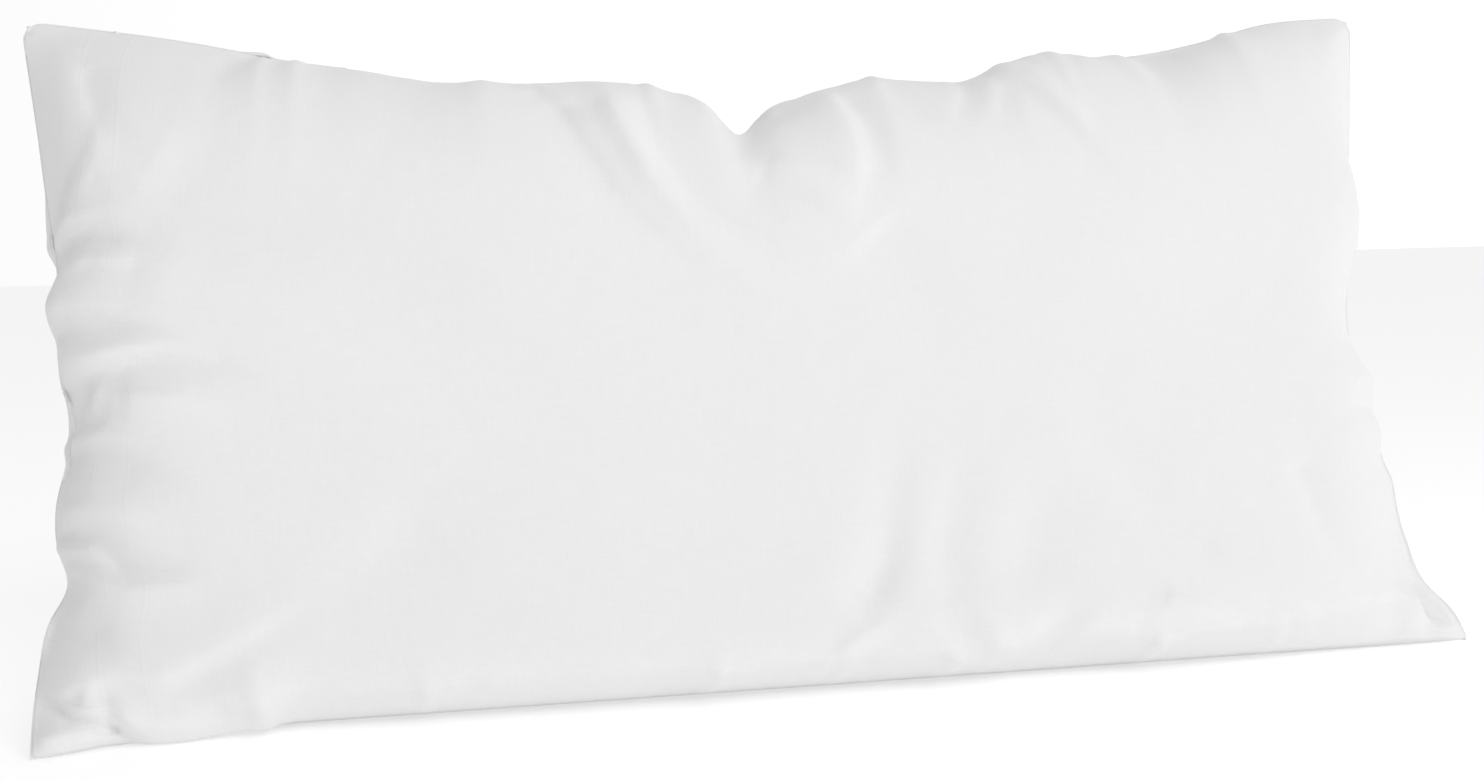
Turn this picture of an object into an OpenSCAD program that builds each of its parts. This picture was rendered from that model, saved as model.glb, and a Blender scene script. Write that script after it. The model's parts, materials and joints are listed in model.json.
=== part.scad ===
// Bed pillow, 400 x 800 mm nominal, standing on a long edge and leaning back.
// A cotton cover with a zip in its back holds a three-chamber insert:
// a feather core between two layers of down, in a ticking.
// +X runs along the long edge, +Z is up, and the front faces -Y.
// The origin is on the floor, in the middle of the length and of the depth.

/* [Pillow] */
// Length from corner to corner of the cover
pillow_l = 780; // [700:5:820]
// Height from corner to corner, along the leaning face
pillow_h = 385; // [360:5:420]
// Bulge of the front face from the seam plane
front_bulge = 62; // [50:1:75]
// Bulge of the back face from the seam plane
back_bulge = 85; // [75:1:95]
// How far the pillow leans back from upright
lean = 15; // [12:1:16]
// How far each short side pulls in between its corners
side_dip = 22; // [10:1:26]
// How far the top side pulls in between its corners
top_dip = 40; // [20:1:50]
// How far the weight squashes the back of the base
base_squash = 14; // [8:1:16]

/* [Cloth] */
// Thickness of a cover panel
cover_t = 0.8; // [0.6:0.1:1]
// Thickness of the ticking
ticking_t = 0.8; // [0.6:0.1:1]
// Thickness of a cloth wall between two chambers
wall_t = 0.6; // [0.5:0.1:0.8]
// Width of the sewn allowance inside a cover seam
allowance_w = 9; // [6:1:12]

/* [Zip] */
// Distance of the zip's middle line from the left corners
zip_from_end = 50; // [48:1:52]
// Height of the zip's lower end above the bottom seam
zip_low = 38; // [36:1:44]
// Height of the zip's upper end above the bottom seam
zip_high = 324; // [250:2:324]
// Width of one tape, with its coil
tape_w = 13; // [12:0.5:13]
// Width of the slot between the two panel edges
slot_w = 9; // [8.6:0.1:10]

/* [Label] */
// Length of the care label along the seam
label_l = 30; // [20:1:36]
// Height of the care label, from the seam to its free edge
label_w = 30; // [20:1:40]
// Place of the care label along the top seam, from the middle of the seam
label_at = -235; // [-250:5:250]

/* [Hidden] */

// Depths below the cover's outer face, where each layer starts.
label_depth = 1.4;
ticking_depth = 3.4;
filling_depth = 7.4;
// Half thicknesses at the edges, where the two faces of a layer come together.
allowance_half_t = 0.3;
cover_edge_n = cover_t + 0.4;
ticking_edge_n = ticking_t + 0.4;
down_edge_n = 2.2;
wall_edge_n = 1.6;
feather_edge_n = 0.8;
// How far the insert and its filling stay inside the cover's seams.
insert_inset = 14;
filling_inset = 34;
// The share of the bulge at which each cloth wall lies.
wall_share = 0.45;
// The cover's back lies flat this far from the seam plane along the zip, and
// the insert stays lower there, to leave room for the slider.
zip_flat_n = 14;
zip_pocket_n = 9.6;
zip_flat_past = 14;
zip_flat_slope = 1.1;
// The bottom seam lies this far above the floor, along the leaning face.
seam_lift = 1.6;
floor_cut = 1;

cover_up = 16;
zip_x = zip_from_end - pillow_l / 2;
zip_flat_end = zip_x + zip_flat_past;
eps = 0.05;

// ---- The shape of the pillow ----
// n is the distance from the seam plane, towards the back, and s is the
// height along the leaning face.

function mix(a, b, t) = a + (b - a) * t;
function clamp01(t) = min(max(t, 0), 1);
function ease(t) = let (c = clamp01(t)) c * c * (3 - 2 * c);
// Grid stations from 0 to 1, closer together near both ends.
function station(i, count) = (1 - cos(180 * i / count)) / 2;

function side_x(v, inset) =
    pillow_l / 2 - inset - side_dip * (1 - pow(2 * v - 1, 2));
function top_s(x, inset) =
    pillow_h - inset - top_dip * (1 - pow(2 * x / pillow_l, 2));
function height_s(x, v, inset) = mix(inset + seam_lift, top_s(x, inset), v);

// Fullness along the length, and up the face from the bottom seam.
function length_fullness(x, v, inset) =
    pow(max(0, 1 - pow(abs(x) / side_x(v, inset), 3)), 0.6);
function front_fullness(v) = pow(max(0, sin(180 * pow(v, 0.62))), 0.62);
function back_fullness(v) = pow(max(0, sin(180 * pow(v, 0.55))), 0.55);

// How far the face on one side bulges. side is -1 at the front and 1 at the
// back, and flat_n is the limit along the zip.
function bulge(side, x, v, inset, depth, flat_n) =
    side < 0
    ? (front_bulge - depth) * length_fullness(x, v, inset) * front_fullness(v)
    : min(
        (back_bulge - depth) * length_fullness(x, v, inset) * back_fullness(v),
        flat_n + zip_flat_slope * max(0, x - zip_flat_end)
    );

// How far back a point lies from the bottom seam's line on the floor.
function depth_y(n, s) = n * cos(lean) + s * sin(lean);
function middle_y(side, bulge_n, v, share) =
    depth_y(side * (cover_edge_n + bulge_n * share), height_s(0, v, 0));
front_y = min([for (j = [0:cover_up]) let (v = station(j, cover_up))
    middle_y(-1, front_bulge, v, front_fullness(v))]);
back_y = max([for (j = [0:cover_up]) let (v = station(j, cover_up))
    middle_y(1, back_bulge, v, back_fullness(v))]);
middle_of_depth = (front_y + back_y) / 2;

// From (x, n, s) to the part's own frame. The weight squashes what lies
// behind the zip's plane, the floor flattens what would reach below it, and
// each layer stays above its own floor level.
function place(x, n, s, floor_z) =
    let (
        squash = base_squash * ease((n - zip_flat_n) / 30),
        z = s * cos(lean) - n * sin(lean) - squash
    )
    [x, depth_y(n, s) - middle_of_depth, max(floor_z, z)];

// ---- Solids from rows of points ----

function joined(rows) = [for (r = rows) each r];
function quad(a, b, c, d) = [[a, b, c], [a, c, d]];

// The closed solid between two faces with the same number of rows and
// columns. near is the face that looks towards -Y.
module between(near, far) {
    cols = len(near[0]);
    rows = len(near);
    total = cols * rows;
    last = rows - 1;
    edge = cols - 1;
    near_faces = [for (j = [0:last - 1], i = [0:edge - 1])
        each quad(j * cols + i, (j + 1) * cols + i, (j + 1) * cols + i + 1, j * cols + i + 1)];
    far_faces = [for (f = near_faces) [f[2] + total, f[1] + total, f[0] + total]];
    low_rim = [for (i = [0:edge - 1]) each quad(i, i + 1, total + i + 1, total + i)];
    high_rim = [for (i = [0:edge - 1]) let (k = last * cols + i)
        each quad(k + 1, k, total + k, total + k + 1)];
    left_rim = [for (j = [0:last - 1]) let (k = j * cols)
        each quad(k + cols, k, total + k, total + k + cols)];
    right_rim = [for (j = [0:last - 1]) let (k = j * cols + edge)
        each quad(k, k + cols, total + k + cols, total + k)];
    polyhedron(
        points = concat(joined(near), joined(far)),
        faces = concat(near_faces, far_faces, low_rim, high_rim, left_rim, right_rim)
    );
}

// ---- Cover panels ----

// One face of a cover panel between from_x and to_x, as rows of points.
function cover_face(side, from_x, to_x, across, up, thin, low_v = 0, high_v = 1) =
    [for (j = [0:up]) let (
        v = mix(low_v, high_v, station(j, up)),
        left = max(from_x, -side_x(v, 0)),
        right = min(to_x, side_x(v, 0))
    ) [for (i = [0:across]) let (
        x = mix(left, right, station(i, across)),
        rise = bulge(side, x, v, 0, 0, zip_flat_n - cover_edge_n),
        n = side * (cover_edge_n + rise - thin)
    ) place(x, n, height_s(x, v, 0), thin > 0 ? thin : -floor_cut)]];

module front_cover(across, up)
    between(
        cover_face(-1, -pillow_l, pillow_l, across, up, 0),
        cover_face(-1, -pillow_l, pillow_l, across, up, cover_t)
    );

// The back's outer face is made to reach just below the floor and is then
// cut off there, which leaves one flat face to rest on.
module back_cover(from_x, to_x, across, up, low_v = 0, high_v = 1)
    intersection() {
        between(
            cover_face(1, from_x, to_x, across, up, cover_t, low_v, high_v),
            cover_face(1, from_x, to_x, across, up, 0, low_v, high_v)
        );
        translate([-pillow_l, -pillow_l / 2, 0])
            cube([2 * pillow_l, pillow_l, pillow_l]);
    }

// ---- Layers of the insert ----

inner_across = 17;
inner_up = 12;

// All layers of the insert share these columns, so that they lie parallel.
function inner_columns(v, inset) = let (edge = side_x(v, inset), fixed = -zip_flat_end)
    concat(
        [-edge, -(edge + fixed) / 2],
        [for (i = [0:inner_across]) mix(-fixed, fixed, i / inner_across)],
        [(edge + fixed) / 2, edge]
    );

function inner_face(side, inset, depth, edge_n, floor_z, share = 1) =
    [for (j = [0:inner_up]) let (v = station(j, inner_up))
        [for (x = inner_columns(v, inset)) let (
            rise = bulge(side, x, v, inset, depth, zip_pocket_n - depth)
        ) place(x, side * (edge_n + share * rise), height_s(x, v, inset), floor_z)]];

// ---- Strips in the seam plane ----

// A flat strip between two lines of [x, s] points.
module seam_strip(low_line, high_line, half_t)
    between(
        [for (line = [low_line, high_line]) [for (p = line) place(p[0], -half_t, p[1], 0)]],
        [for (line = [low_line, high_line]) [for (p = line) place(p[0], half_t, p[1], 0)]]
    );

// ---- Cover ----

cover_colour = "white";

module cover_front()
    color(cover_colour) front_cover(32, cover_up);

module cover_back()
    color(cover_colour) back_cover(zip_x + slot_w / 2, pillow_l, 30, cover_up);

module cover_end_strip()
    color(cover_colour) back_cover(-pillow_l, zip_x - slot_w / 2, 5, cover_up);

// Above and below the zip the two back panels are sewn together.
module zip_end_seams() {
    half = slot_w / 2 - eps;
    top_at = top_s(zip_x, 0);
    color(cover_colour) {
        back_cover(zip_x - half, zip_x + half, 2, 5, (zip_high + 8) / top_at, 1);
        back_cover(zip_x - half, zip_x + half, 2, 4, 0, (zip_low - 8) / top_at);
    }
}

// The corners of the seam strips stay this far from each other.
corner_gap = 12;
strip_steps = 20;

function along_top(inset, below, from_x, to_x) = [for (i = [0:strip_steps])
    let (x = mix(from_x, to_x, i / strip_steps)) [x, top_s(x, inset) - below]];
function along_bottom(inset, above) = [for (i = [0:strip_steps])
    [mix(-side_x(0, inset), side_x(0, inset), i / strip_steps), inset + seam_lift + above]];
function along_side(side, inset, inward) = [for (i = [0:strip_steps]) let (
    edge_s = top_s(side_x(1, inset), inset),
    s = mix(inset + seam_lift + corner_gap, edge_s - corner_gap, i / strip_steps)
) [side * (side_x(s / edge_s, inset) - inward), s]];

module top_strip(inset, w, from_x, to_x)
    seam_strip(
        along_top(inset, w, from_x, to_x),
        along_top(inset, 0, from_x, to_x),
        allowance_half_t
    );
module bottom_strip(inset, w)
    seam_strip(along_bottom(inset, 0), along_bottom(inset, w), allowance_half_t);
module side_strip(side, inset, w)
    seam_strip(
        along_side(side, inset, side < 0 ? w : 0),
        along_side(side, inset, side < 0 ? 0 : w),
        allowance_half_t
    );

// The top allowance leaves a gap for the end of the care label.
module seam_top()
    color(cover_colour) {
        top_strip(0, allowance_w, -pillow_l / 2, label_at - label_l / 2 - label_seam_gap);
        top_strip(0, allowance_w, label_at + label_l / 2 + label_seam_gap, pillow_l / 2);
    }

module seam_bottom() color(cover_colour) bottom_strip(0, allowance_w);
module seam_left() color(cover_colour) side_strip(-1, 0, allowance_w);
module seam_right() color(cover_colour) side_strip(1, 0, allowance_w);

// ---- Zip ----
// Drawn with x across the tapes, y outwards from the tapes and z along them,
// from the middle of the tapes at the bottom seam.

tape_t = 0.5;
tape_under_panel = 0.3;
tape_n = zip_flat_n - cover_t - tape_under_panel - tape_t / 2;
tape_past_coil = 11;
coil_w = 2.1;
// Half the space that the two coils leave for the slider's post.
coil_gap = 0.35;
coil_low = 0.75;
coil_high = 1.35;

module on_zip()
    translate([0, -middle_of_depth, 0])
        rotate([-lean, 0, 0])
            translate([zip_x, tape_n, 0])
                children();

module tape(side)
    color("white") on_zip()
        translate([side < 0 ? -tape_w : coil_w, -tape_t / 2, zip_low - tape_past_coil])
            cube([tape_w - coil_w, tape_t, zip_high - zip_low + 2 * tape_past_coil]);

module coil(side)
    color("whitesmoke") on_zip()
        translate([side < 0 ? -coil_w : coil_gap, -coil_low, zip_low])
            cube([coil_w - coil_gap, coil_low + coil_high, zip_high - zip_low]);

module zip_tape_main() tape(1);
module zip_tape_end() tape(-1);
module zip_coil_main() coil(1);
module zip_coil_end() coil(-1);

stop_w = 1.7;
stop_h = 3;

module zip_top_stops()
    color("gainsboro") on_zip()
        for (x = [-stop_w - coil_gap, coil_gap])
            translate([x, -coil_low - 0.1, zip_high])
                cube([stop_w, coil_low + coil_high + 0.2, stop_h]);

module zip_bottom_stop()
    color("gainsboro") on_zip()
        translate([-stop_w - coil_gap, -coil_low - 0.1, zip_low - stop_h])
            cube([2 * (stop_w + coil_gap), coil_low + coil_high + 0.2, stop_h]);

stitch_r = 0.25;
stitch_from_middle = 11;
stitch_past_zip = 6;
panel_y = zip_flat_n - tape_n;

module zip_stitching()
    color("white") on_zip()
        for (side = [-1, 1])
            translate([side * stitch_from_middle, panel_y + stitch_r + eps, zip_low - stitch_past_zip])
                cylinder(r = stitch_r, h = zip_high - zip_low + 2 * stitch_past_zip, $fn = 24);

tack_l = 14;
tack_h = 2.2;
tack_t = 0.8;

module zip_bar_tacks()
    color("white") on_zip()
        for (z = [zip_low - stitch_past_zip - tack_h, zip_high + stitch_past_zip])
            translate([-tack_l / 2, panel_y + eps, z])
                cube([tack_l, tack_t, tack_h]);

// The slider: two plates with rims that clasp the coils, joined by a post
// between the coils, with a slot on each side for the tapes and a bridge
// for the puller.
slider_l = 9;
slider_w = 7.4;
slider_nose_w = 5.6;
plate_t = 0.95;
channel_low = 1.05;
channel_high = 1.65;
channel_w = 5;
slider_slot = 0.9;
slider_z = zip_high - slider_l / 2 - 1;
post_w = 0.6;
post_l = 2;
bridge_w = 1.6;
bridge_post = 0.7;
bridge_l = 5.9;
bridge_h = 2.4;
bridge_bar = 0.9;
slider_top = channel_high + plate_t;

module slider_outline()
    hull()
        for (x = [-1, 1]) {
            translate([x * (slider_w / 2 - 1), slider_l / 2 - 1]) circle(r = 1, $fn = 32);
            translate([x * (slider_nose_w / 2 - 1), 1 - slider_l / 2]) circle(r = 1, $fn = 32);
        }

module slider_body()
    difference() {
        translate([0, slider_top, 0])
            rotate([90, 0, 0])
                linear_extrude(channel_low + channel_high + 2 * plate_t)
                    slider_outline();
        translate([-channel_w / 2, -channel_low, -slider_l])
            cube([channel_w, channel_low + channel_high, 2 * slider_l]);
        translate([-slider_w, -slider_slot / 2, -slider_l])
            cube([2 * slider_w, slider_slot, 2 * slider_l]);
    }

module slider_post()
    translate([-post_w / 2, -channel_low - eps, slider_l / 2 - post_l - 0.8])
        cube([post_w, channel_low + channel_high + 2 * eps, post_l]);

module slider_bridge()
    translate([-bridge_w / 2, slider_top - eps, -bridge_l / 2])
        difference() {
            cube([bridge_w, bridge_h + eps, bridge_l]);
            translate([-1, -1, bridge_post])
                cube([bridge_w + 2, bridge_h + 1 + eps - bridge_bar, bridge_l - 2 * bridge_post]);
        }

module zip_slider()
    color("silver") on_zip()
        translate([0, 0, slider_z]) {
            slider_body();
            slider_post();
            slider_bridge();
        }

// The puller hangs straight down from its bar, which lies under the bridge.
pin_r = 0.55;
pin_y = slider_top + 0.72;
pin_z = slider_z - 1.2;
arm_l = 5.2;
arm_w = 1.1;
arm_x = 1.25;
puller_w = 5.4;
puller_l = 16;
puller_t = 1.1;
puller_hole_r = 1.3;

module puller_frame() {
    translate([-arm_x - arm_w, 0, 0])
        rotate([0, 90, 0])
            cylinder(r = pin_r, h = 2 * (arm_x + arm_w), $fn = 32);
    for (x = [-arm_x - arm_w, arm_x])
        translate([x, -puller_t / 2, -arm_l])
            cube([arm_w, puller_t, arm_l]);
}

module puller_tab()
    difference() {
        translate([0, puller_t / 2, 0])
            rotate([90, 0, 0])
                linear_extrude(puller_t) {
                    translate([-puller_w / 2, -arm_l - puller_l])
                        square([puller_w, puller_l]);
                    translate([0, -arm_l - puller_l])
                        circle(d = puller_w, $fn = 48);
                }
        translate([0, puller_t, -arm_l - puller_l])
            rotate([90, 0, 0])
                cylinder(r = puller_hole_r, h = 2 * puller_t, $fn = 32);
    }

module zip_puller()
    color("silver") on_zip()
        translate([0, pin_y, pin_z])
            rotate([lean, 0, 0]) {
                puller_frame();
                puller_tab();
            }

// ---- Care label ----
// A blank folded label. One end is sewn into the top seam and the rest hangs
// down over the back.

label_t = 0.8;
label_slope = 74;
label_seam_gap = 1;
label_root_in = 7;
label_root_out = 1;
label_hinge_gap = 0.6;
// The seam's own slope where the label is sewn in.
label_tilt = atan(8 * top_dip * label_at / pow(pillow_l, 2));

// Drawn with x along the seam, y to the back and z up across the seam.
module on_label_seam()
    translate([0, -middle_of_depth, 0])
        rotate([-lean, 0, 0])
            translate([label_at, 0, top_s(label_at, 0)])
                rotate([0, -label_tilt, 0])
                    children();

module care_label_root()
    color("white") on_label_seam()
        translate([-label_l / 2, -allowance_half_t, -label_root_in])
            cube([label_l, 2 * allowance_half_t, label_root_in + label_root_out]);

module care_label()
    color("white") on_label_seam()
        translate([0, allowance_half_t + label_hinge_gap, label_root_out])
            rotate([label_slope - 90, 0, 0])
                translate([-label_l / 2, 0, -label_t / 2])
                    cube([label_l, label_w, label_t]);

// ---- Insert ----

ticking_colour = "ivory";

module ticking_front()
    color(ticking_colour) between(
        inner_face(-1, insert_inset, ticking_depth, ticking_edge_n, ticking_depth),
        inner_face(-1, insert_inset, ticking_depth, ticking_edge_n - ticking_t, ticking_depth)
    );

module ticking_back()
    color(ticking_colour) between(
        inner_face(1, insert_inset, ticking_depth, ticking_edge_n - ticking_t, ticking_depth + ticking_t),
        inner_face(1, insert_inset, ticking_depth, ticking_edge_n, ticking_depth)
    );

module ticking_edge_seam() {
    w = 6;
    color(ticking_colour) {
        top_strip(insert_inset, w, -side_x(1, insert_inset), side_x(1, insert_inset));
        bottom_strip(insert_inset, w);
        side_strip(-1, insert_inset, w);
        side_strip(1, insert_inset, w);
    }
}

// A blank label lying between the ticking and the back of the cover.
insert_label_x = 200;
insert_label_v = [0.3, 0.46];
insert_label_w = 44;
insert_label_t = 0.3;

module insert_label() {
    steps = 4;
    rows = function(thin)
        [for (j = [0:steps]) let (v = mix(insert_label_v[0], insert_label_v[1], j / steps))
            [for (i = [0:steps]) let (
                x = insert_label_x + insert_label_w * i / steps,
                rise = bulge(1, x, v, 0, 0, back_bulge)
            ) place(x, cover_edge_n + rise - label_depth - thin, height_s(x, v, 0), 0)]];
    color("white") between(rows(insert_label_t), rows(0));
}

// Each cloth wall is a face of the filling, moved in and out by these steps.
wall_clear = 0.1;
wall_floor = filling_depth + 3;

function wall_face(side, edge_n, floor_z) =
    inner_face(side, filling_inset, filling_depth, edge_n, floor_z, wall_share);

module chamber_wall_front()
    color("linen") between(
        wall_face(-1, wall_edge_n, wall_floor),
        wall_face(-1, wall_edge_n - wall_t, wall_floor)
    );

module chamber_wall_back()
    color("linen") between(
        wall_face(1, wall_edge_n - wall_t, wall_floor + wall_t),
        wall_face(1, wall_edge_n, wall_floor)
    );

module down_front()
    color("snow") between(
        inner_face(-1, filling_inset, filling_depth, down_edge_n, filling_depth),
        wall_face(-1, wall_edge_n + wall_clear, wall_floor)
    );

module down_back()
    color("snow") between(
        wall_face(1, wall_edge_n + wall_clear, wall_floor - wall_clear),
        inner_face(1, filling_inset, filling_depth, down_edge_n, filling_depth)
    );

module feather_core()
    color("antiquewhite") between(
        wall_face(-1, feather_edge_n, wall_floor),
        wall_face(1, feather_edge_n, wall_floor + wall_t + wall_clear)
    );

cover_front();
cover_back();
cover_end_strip();
zip_end_seams();
seam_top();
seam_bottom();
seam_left();
seam_right();
zip_tape_main();
zip_tape_end();
zip_coil_main();
zip_coil_end();
zip_top_stops();
zip_bottom_stop();
zip_stitching();
zip_bar_tacks();
zip_slider();
zip_puller();
care_label_root();
care_label();
ticking_front();
ticking_back();
ticking_edge_seam();
insert_label();
chamber_wall_front();
chamber_wall_back();
down_front();
feather_core();
down_back();
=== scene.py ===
"""The look of the bed pillow: a cotton cover with a zip in its back, standing
on a long edge and leaning back. Lengths are in metres. The cover is shaped in
the pillow's own terms, x along its length, n behind the seam plane and s up
the leaning face, and is then leaned back onto the floor."""

import json
import math

import bpy
import numpy as np
from mathutils import Matrix, Vector


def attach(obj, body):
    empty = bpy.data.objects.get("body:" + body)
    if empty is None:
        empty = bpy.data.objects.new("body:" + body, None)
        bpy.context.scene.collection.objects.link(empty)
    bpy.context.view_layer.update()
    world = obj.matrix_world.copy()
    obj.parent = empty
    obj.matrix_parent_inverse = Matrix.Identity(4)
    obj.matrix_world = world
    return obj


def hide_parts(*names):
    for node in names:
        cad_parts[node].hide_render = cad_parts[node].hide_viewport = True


# ---- Sizes ----

# The cover's flat size, how far it leans back, and the depth of its two faces
# from the seam plane
FLAT_LENGTH = 0.800
FLAT_HEIGHT = 0.400
LEAN = math.radians(15)
MIDDLE_OF_DEPTH = 0.0408
FRONT_BULGE = 0.062
BACK_BULGE = 0.073
SEAM_LIFT = 0.0010
COVER_LIFT = 0.0004
BASE_SQUASH = 0.014
COVER_THICK = 0.0006

# The lower left corner is brought forward and down, most at its tip
CORNER_REACH = 0.045
CORNER_FORWARD = 0.038
CORNER_DOWN = 0.010

# Right of that corner the face puffs out onto the floor
PUFF_X = -0.303
PUFF_HALF = 0.036
PUFF_HEIGHT = 0.035
PUFF_FORWARD = 0.004
PUFF_DOWN = 0.009

# The zip, from its middle line outwards. N is behind the seam plane.
ZIP_X = -0.340
ZIP_N = 0.014
ZIP_LOW = 0.038
ZIP_HIGH = 0.324
SLOT_HALF = 0.0045
SLOT_PAST_ZIP = 0.008
SLOT_U = SLOT_HALF / FLAT_LENGTH
TAPE_N = 0.01265
TAPE_OUTER = 0.013
TAPE_PAST_ZIP = 0.011
TAPE_THICK = 0.0006
COIL_OUTER = 0.0021
COIL_INNER = 0.0001
COIL_BASE = 0.0119
COIL_TOP = 0.0140
COIL_PITCH = 0.0013
COIL_WIRE = 0.00022

# Stitches along the zip, and tacks across its ends
STITCH = 0.0023
STITCH_GAP = 0.0006
STITCH_ROW = 0.011
STITCH_RADIUS = 0.00022
TACK_HALF = 0.007
TACK_SWING = 0.0008
TACK_RADIUS = 0.0002
TACK_PAST_ZIP = 0.0071

# The seam allowances reach from near the seam to further in
ALLOWANCE_OUTER = 0.0022
ALLOWANCE_INNER = 0.009
ALLOWANCE_LIFT = 0.0018
ALLOWANCE_THICK = 0.0005

# Layers inside the cover: how far they stay in from the seams, their share of
# the way from the middle to the face, and the room they leave to the floor, to
# the top seam and to the zip
TICKING_INSET = 0.024
WALL_INSET = 0.027
FILLING_INSET = 0.031
TICKING_SHARE = 0.90
WALL_SHARE = 0.46
FILLING_GAP = 0.04
LAYER_ACROSS = 161
LAYER_UP = 81
LAYER_START = 0.012
LAYER_FLOOR = 0.0022
LAYER_DROP = 0.014
ZIP_ROOM = 0.0102
ZIP_ROOM_HALF = 0.016
TICKING_THICK = 0.0005
WALL_THICK = 0.0004
EDGING_RADIUS = 0.0009
TAG_THICK = 0.0003

# The care label, which starts a little below and behind its joint
LABEL_SIZE = 0.030
LABEL_SLOPE = 74
LABEL_THICK = 0.0004
LABEL_BELOW = 0.0020
LABEL_BEHIND = 0.0006

# The direction straight out of the leaning face
OUT_OF_FACE = (0, -0.97, 0.26)

# Light
FLOOR_GLOW = 0.35
SKY_BASE = 0.68
SKY_SLOPE = (0.30, 0.33, 0.02)
KEY_POWER = 29

# ---- Cloth simulation of the empty cover as it fills ----

SIM_ACROSS = 128
SIM_UP = 64
SIM_FRAMES = 19
SIM_PRESSURE = 5.0
SIM_GAP = 0.016
SIM_WAVES = 24
SIM_WAVE = 0.0006


def flat_cover():
    """Two flat panels that share their edge, a little apart in the middle, with
    slow waves that keep the two ends from filling in the same way."""
    rng = np.random.default_rng(4)
    u, v = np.meshgrid(np.linspace(0, 1, SIM_ACROSS + 1), np.linspace(0, 1, SIM_UP + 1))
    middle = (1 - (2 * u - 1) ** 4) * (1 - (2 * v - 1) ** 4)
    wave = np.zeros_like(u)
    for _ in range(SIM_WAVES):
        across, up = rng.uniform(-16, 16), rng.uniform(-9, 9)
        wave += np.cos(across * u * math.pi + up * v * math.pi + rng.uniform(0, 2 * math.pi))
    wave *= SIM_WAVE
    x = (u - 0.5) * FLAT_LENGTH
    s = v * FLAT_HEIGHT
    front = np.stack([x, -SIM_GAP * middle + wave, s], axis=-1)
    back = np.stack([x, SIM_GAP * middle + wave, s], axis=-1)
    return front, back


def closed_cover(front, back):
    """One closed mesh from two grids with the same edge, and the vertex numbers
    of both grids."""
    rows, cols = front.shape[:2]
    front_ids = np.arange(rows * cols).reshape(rows, cols)
    inside = np.zeros((rows, cols), bool)
    inside[1:-1, 1:-1] = True
    back_ids = front_ids.copy()
    back_ids[inside] = rows * cols + np.arange(inside.sum())
    points = np.concatenate([front.reshape(-1, 3), back[inside]])
    faces = np.concatenate([grid_faces(front_ids), grid_faces(back_ids)[:, ::-1]])
    mesh = bpy.data.meshes.new("filling_cover")
    mesh.from_pydata(points.tolist(), [], faces.tolist())
    return mesh, front_ids, back_ids


def grid_faces(ids):
    """The quads of a grid of vertex numbers, looking towards the front."""
    corners = [ids[:-1, :-1], ids[:-1, 1:], ids[1:, 1:], ids[1:, :-1]]
    return np.stack([c.ravel() for c in corners], axis=1)


def fill_cover():
    """The front and back grids of the cover after the filling's pressure."""
    front, back = flat_cover()
    mesh, front_ids, back_ids = closed_cover(front, back)
    cover = bpy.data.objects.new("filling_cover", mesh)
    bpy.context.scene.collection.objects.link(cover)
    cloth = cover.modifiers.new("cloth", "CLOTH")
    cloth.settings.quality = 6
    cloth.settings.mass = 0.3
    cloth.settings.tension_stiffness = 25
    cloth.settings.compression_stiffness = 25
    cloth.settings.shear_stiffness = 8
    cloth.settings.bending_stiffness = 0.25
    cloth.settings.tension_damping = 10
    cloth.settings.compression_damping = 10
    cloth.settings.shear_damping = 10
    cloth.settings.air_damping = 3
    cloth.settings.use_pressure = True
    cloth.settings.uniform_pressure_force = SIM_PRESSURE
    cloth.settings.effector_weights.gravity = 0
    cloth.collision_settings.use_collision = False
    for frame_number in range(1, SIM_FRAMES + 1):
        bpy.context.scene.frame_set(frame_number)
    filled = cover.evaluated_get(bpy.context.evaluated_depsgraph_get()).data
    points = np.empty(len(filled.vertices) * 3)
    filled.vertices.foreach_get("co", points)
    points = points.reshape(-1, 3)
    bpy.data.objects.remove(cover)
    bpy.data.meshes.remove(mesh)
    bpy.context.scene.frame_set(1)
    return points[front_ids], points[back_ids]


# ---- Sampling and blending ----


def ease(t):
    """0 below 0, 1 above 1, and smooth between."""
    t = np.clip(t, 0, 1)
    return t * t * (3 - 2 * t)


def spline_weights(at, count):
    """The matrix that takes count evenly spaced values to the values at the
    places at, from 0 to 1, along a smooth curve through them."""
    place = np.clip(at, 0, 1) * (count - 1)
    first = np.minimum(place.astype(int), count - 2)
    t = place - first
    shares = [
        ((2 - t) * t - 1) * t / 2,
        ((3 * t - 5) * t * t + 2) / 2,
        ((4 - 3 * t) * t + 1) * t / 2,
        (t - 1) * t * t / 2,
    ]
    weights = np.zeros((len(at), count))
    for step, share in zip((-1, 0, 1, 2), shares):
        column = np.clip(first + step, 0, count - 1)
        np.add.at(weights, (np.arange(len(at)), column), share)
    return weights


def sample(grid, u, v):
    """The points of a grid at the shares u across and v up."""
    across = spline_weights(u, grid.shape[1])
    up = spline_weights(v, grid.shape[0])
    return np.einsum("jr,rcd,ic->jid", up, grid, across, optimize=True)


def smooth_line(points, at):
    """A smooth curve through [place, value] points."""
    places, values = np.array(points, float).T
    slopes = np.gradient(values, places)
    k = np.clip(np.searchsorted(places, at) - 1, 0, len(places) - 2)
    gap = places[k + 1] - places[k]
    t = np.clip((at - places[k]) / gap, 0, 1)
    straight = (values[k + 1] - values[k]) / gap
    leave = (1 - t) * (slopes[k] - straight)
    arrive = t * (slopes[k + 1] - straight)
    return values[k] + t * gap * straight + gap * t * (1 - t) * (leave - arrive)


# ---- The outline of the seams, [along, across] in metres ----

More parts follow.
